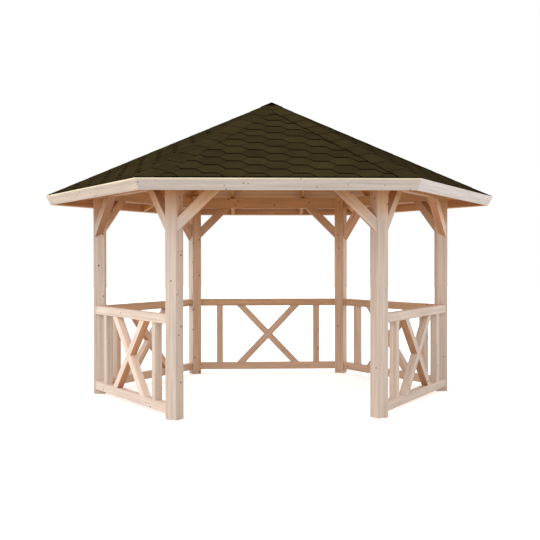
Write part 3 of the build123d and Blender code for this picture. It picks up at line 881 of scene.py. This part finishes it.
bpy.ops.object.select_all(action="DESELECT")
bpy.ops.mesh.primitive_plane_add(size=1, location=(0, CAP_LONG / 2, 0))
strip = bpy.context.object
strip.name = "hip_strip"
strip.data.materials.append(shingle_felt)
strip.data.materials.append(rim_bitumen_and_shadow)
strip.scale = (2 * CAP_HALF, CAP_LONG, 1)
bake_place(strip)
take(strip)
bpy.ops.object.mode_set(mode="EDIT")
give_rim(strip, CAP_RIM)
choose(strip, "edges", lambda m: m.y > CAP_LONG - 2 * CAP_RIM and abs(m.x) < 1 * MM)
bpy.ops.transform.resize(value=(1 - CAP_TAPER / CAP_HALF, 1, 1), center_override=(0, 0, 0))
bpy.ops.mesh.select_all(action="SELECT")
bpy.ops.mesh.bisect(plane_co=(0, 0, 0), plane_no=(1, 0, 0))
for hand in (1, -1):
    choose(strip, "faces", lambda m: hand * m.x > 0)
    fold = atan(FOLD) + (atan(CAP_PRESSED / CAP_HALF) if hand == 1 else 0)
    bpy.ops.transform.rotate(value=-hand * fold, orient_axis="Y", center_override=(0, 0, 0))
bpy.ops.object.mode_set(mode="OBJECT")
print("a strip's wings fall by", round(min(v.co.z for v in strip.data.vertices) / MM), "mm")
thicken(strip, FELT)
take(strip)
bpy.ops.object.mode_set(mode="EDIT")
# the right edge's rim goes back to felt, so only the left edge shows painted shadow
choose(strip, "faces", lambda m: m.x > 0.8 * CAP_HALF)
strip.active_material_index = 0
bpy.ops.object.material_slot_assign()
bpy.ops.object.mode_set(mode="OBJECT")
strip.rotation_euler.x = -atan(FELT / CAP_EXPOSURE)
strip.location.z = CAP_TOP
bake_place(strip)
strip.location.y = -HIP_LENGTH
bake_place(strip)
strips_on_hip = int(HIP_LENGTH / CAP_EXPOSURE) + 1
repeat(strip, strips_on_hip, (0, CAP_EXPOSURE, 0))
print("strips on a hip", strips_on_hip)

# %% [markdown]
# The run is lifted onto a hip that points to the front, trimmed at the eaves of both faces and
# at the middles of the faces near the peak, where the runs meet, and turned to the six hips.

# %% Onto the hips
strip.rotation_euler.x = HIP_SLOPE
strip.location.z = PEAK
bake_place(strip)
strip_runs = []
for hand in (1, -1):
    out = Vector((hand * sin(TURN / 2), -cos(TURN / 2), 0))
    downhill = out * cos(PITCH) - Vector((0, 0, sin(PITCH)))
    trim(strip, Vector((0, 0, PEAK)) + downhill * SHINGLE_EAVE, downhill)
    trim(strip, (0, 0, 0), (hand * cos(TURN / 2), sin(TURN / 2), 0))
for number in range(SIDES):
    run = second(strip, "hip_caps")
    run.rotation_euler.z = (number + 0.5) * TURN
    bake_place(run)
    strip_runs.append(run)
bpy.data.objects.remove(strip)
caps = join(strip_runs)
caps.name = "hip_caps"
print("hip caps", len(caps.data.polygons), "faces")

# %% [markdown]
# ## Peak cap
# A six-sided piece of felt, nearly black where it is folded and sealed with bitumen, covers the
# upper ends of the hip caps. It starts as a cone with six sides and no base. Each of its sides
# gets an inset of its own, whose rim is bitumen, and Solidify gives it the felt's thickness. The
# lighter felt left in the middle of each side is a painted highlight.

# %% Peak cap
PEAK_CAP = 128 * MM
PEAK_RIM = 36 * MM
PEAK_LIFT = 9.0 * MM                             # over the hip caps, within the model's peak cap
# felt for the middle of each side, lighter than the bitumen rim: a painted highlight
sealed_felt_highlight = mineral_felt("sealed_felt_highlight", "#22221d", 0.04)

bpy.ops.object.select_all(action="DESELECT")
bpy.ops.mesh.primitive_cone_add(vertices=SIDES, radius1=PEAK_CAP, depth=PEAK_CAP * tan(HIP_SLOPE),
                                end_fill_type="NOTHING")
peak_cap = bpy.context.object
peak_cap.name = "peak_cap"
peak_cap.data.materials.append(sealed_felt_highlight)
peak_cap.data.materials.append(rim_bitumen_and_shadow)
peak_cap.location.z = PEAK + PEAK_LIFT - PEAK_CAP * tan(HIP_SLOPE) / 2
corner = max((v.co for v in peak_cap.data.vertices if v.co.z < 0), key=lambda place: place.x)
peak_cap.rotation_euler.z = -atan2(corner.y, corner.x)     # one corner onto each hip
bake_place(peak_cap)
take(peak_cap)
bpy.ops.object.mode_set(mode="EDIT")
bpy.ops.mesh.select_mode(type="FACE")
bpy.ops.mesh.select_all(action="SELECT")
bpy.ops.mesh.normals_make_consistent(inside=False)
bpy.ops.mesh.inset(thickness=PEAK_RIM, use_individual=True, use_even_offset=True)
bpy.ops.mesh.select_all(action="INVERT")
peak_cap.active_material_index = 1
bpy.ops.object.material_slot_assign()
bpy.ops.object.mode_set(mode="OBJECT")
thicken(peak_cap, FELT)
print("peak cap", len(peak_cap.data.polygons), "faces")
for piece in (caps, peak_cap):
    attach(piece, "root")
    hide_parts("ridge_caps")

# %% [markdown]
# ## Screws
# The pieces are held by zinc-plated countersunk screws whose heads are 8 mm wide. Two go into
# each rafter's tail through the fascia, two into each end of a knee brace from below, and one
# slantwise into each end of a rail. A head is a short cylinder; an inset of its top face,
# extruded downwards, is the driver's recess. The heads of the front bay are set out one by one,
# and the whole set is then copied round the gazebo.

# %% A screw head
HEAD_RADIUS = 4 * MM
HEAD_DEPTH = 3 * MM
PROUD = 0.3 * MM                                 # the head stands this much above the wood

# a thin blue-grey coat, duller where it has begun to bloom
zinc, tree, surface = start_material("zinc_plate")
coordinates = tree.nodes.new("ShaderNodeTexCoord").outputs["Object"]
bloom = add(tree, "ShaderNodeTexNoise", {"Vector": coordinates, "Scale": 1 / (3 * MM)})
coat = add(tree, "ShaderNodeMix", {0: bloom, 6: linear("#c2c4c4"), 7: linear("#a3a5a2")}, out=2,
           data_type="RGBA")
dull = add(tree, "ShaderNodeMapRange", {"Value": bloom, "From Min": 0.3, "From Max": 0.7,
                                        "To Min": 0.35, "To Max": 0.55})
plated = add(tree, "ShaderNodeBsdfPrincipled", {"Base Color": coat, "Metallic": 1.0,
                                                "Roughness": dull})
tree.links.new(plated, surface)

bpy.ops.object.select_all(action="DESELECT")
bpy.ops.mesh.primitive_cylinder_add(vertices=10, radius=HEAD_RADIUS, depth=HEAD_DEPTH)
head = bpy.context.object
head.data.materials.append(zinc)
take(head)
bpy.ops.object.mode_set(mode="EDIT")
choose(head, "faces", lambda m: m.z > HEAD_DEPTH / 4)
bpy.ops.mesh.inset(thickness=HEAD_RADIUS * 0.45)
bpy.ops.mesh.extrude_region_move(TRANSFORM_OT_translate={"value": (0, 0, -HEAD_DEPTH / 3)})
bpy.ops.object.mode_set(mode="OBJECT")
head.location.z = PROUD - HEAD_DEPTH / 2
bake_place(head)


def drive(place, facing):
    """A screw head at a place of the front bay, looking in the direction `facing`."""
    screw = second(head, "screw")
    screw.rotation_euler = Vector(facing).to_track_quat("Z", "X").to_euler()
    screw.location = place
    bake_place(screw)
    return screw


# %% Screws of the front bay, and round the gazebo
FASCIA_THICK = 25 * MM
TAIL_SCREWS = (50 * MM, 95 * MM)                 # below the roof's surface
FROM_MITRE = 22 * MM
BRACE_END = 35 * MM                              # from a brace's end
BRACE_PAIR = 36 * MM                             # between the two side by side
RAIL_END = 10 * MM                               # from a rail's end
BRACE_LEG = 412 * MM                             # a brace's reach along the beam and the post
RAIL_THICK = 75 * MM
post_low, post_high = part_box("post_right")
# from a bay's middle to the face of its post
BAY_HALF = post.x * sin(TURN / 2) - (post_high.x - post_low.x) / 2 * cos(TURN / 2)
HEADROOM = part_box("beam_front")[0].z             # the beams' underside

downhill = Vector((0, -cos(PITCH), -sin(PITCH)))
into_roof = Vector((0, sin(PITCH), -cos(PITCH)))
fixed = []
sawn = []
for hand in (1, -1):
    for depth in TAIL_SCREWS:
        face = Vector((0, 0, PEAK)) + downhill * (SHINGLE_EAVE + FASCIA_THICK) + into_roof * depth
        mitre = -face.y * tan(TURN / 2)
        for sideways in (JACK_SPREAD / 2, mitre - FROM_MITRE):
            fixed.append(drive(face + Vector((hand * sideways, 0, 0)), downhill))
    for up in (BRACE_END, BRACE_LEG - BRACE_END):
        for across_brace in (-BRACE_PAIR / 2, BRACE_PAIR / 2):
            along = hand * (BAY_HALF - BRACE_LEG + up)
            foot = Vector((along, -SIDE - across_brace, HEADROOM - up))
            fixed.append(drive(foot, (-hand, 0, -1)))
    for rail in (rail_low.z, rail_high.z - RAIL_DEPTH):
        along = hand * (BAY_HALF - RAIL_END)
        outer = Vector((along, -SIDE - RAIL_THICK / 2, rail + RAIL_DEPTH / 2))
        sawn.append(drive(outer, (0, -1, 0)))
print("screws in a bay", len(fixed), "and in a railing", len(sawn))
fixed = round_the_roof(join(fixed), "screws")
sawn = round_the_roof(join(sawn), "rail_screws")
bpy.data.objects.remove(sawn.pop("front"))       # the open bay
bpy.data.objects.remove(head)
screws = join(list(fixed.values()) + list(sawn.values()))
screws.name = "screws"
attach(screws, "root")
print("all screws", len(screws.data.polygons), "faces")
